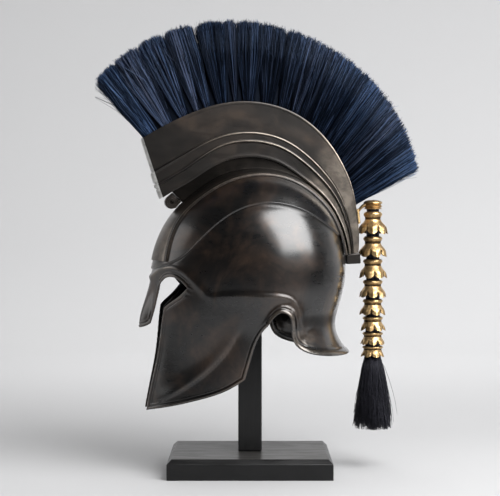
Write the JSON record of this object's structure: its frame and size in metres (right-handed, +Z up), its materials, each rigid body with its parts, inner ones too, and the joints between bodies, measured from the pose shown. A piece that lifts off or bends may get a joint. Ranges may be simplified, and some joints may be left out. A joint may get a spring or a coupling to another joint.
{
  "type": "greek bronze helmet on a display stand",
  "caption": "Crested Greek helmet of dark bronze with a horsehair plume and a hanging tail of gilt collars, on a square post and base.",
  "frame": {"origin": "middle of the stand's underside", "axes": "+Z up along the post, +X towards the back of the helmet, +Y towards the helmet's right side as it faces -X; the helmet is turned 7 degrees about the post"},
  "size_m": [0.422, 0.2115, 0.5872],
  "materials": {
    "dark_bronze": "dark brown-black patina, polished to a soft shine",
    "worn_bronze": "bare grey metal, rubbed bright",
    "gilt_brass": "old gilding, dark in the hollows",
    "navy_horsehair": "stiff brushed hair",
    "black_horsehair": "bound and loose hair",
    "black_paint": "matt black paint on wood"
  },
  "bodies": {
    "root": {"helmet_shell": "dark_bronze", "crest_seat": "dark_bronze", "crest_holder": "dark_bronze", "crest_scroll": "dark_bronze", "crest_foot": "dark_bronze", "crest_backing": "dark_bronze", "crest_end_plate": "worn_bronze", "crest_plume": "navy_horsehair", "tail_hanger": "gilt_brass", "tail_core": "black_horsehair", "tail_tassel": "black_horsehair", "stand_base": "black_paint", "stand_post": "black_paint", "tail_collar_1": "gilt_brass", "tail_collar_2": "gilt_brass", "tail_collar_3": "gilt_brass", "tail_collar_4": "gilt_brass", "tail_collar_5": "gilt_brass", "tail_collar_6": "gilt_brass", "tail_collar_7": "gilt_brass", "tail_collar_8": "gilt_brass"}
  },
  "joints": []
}
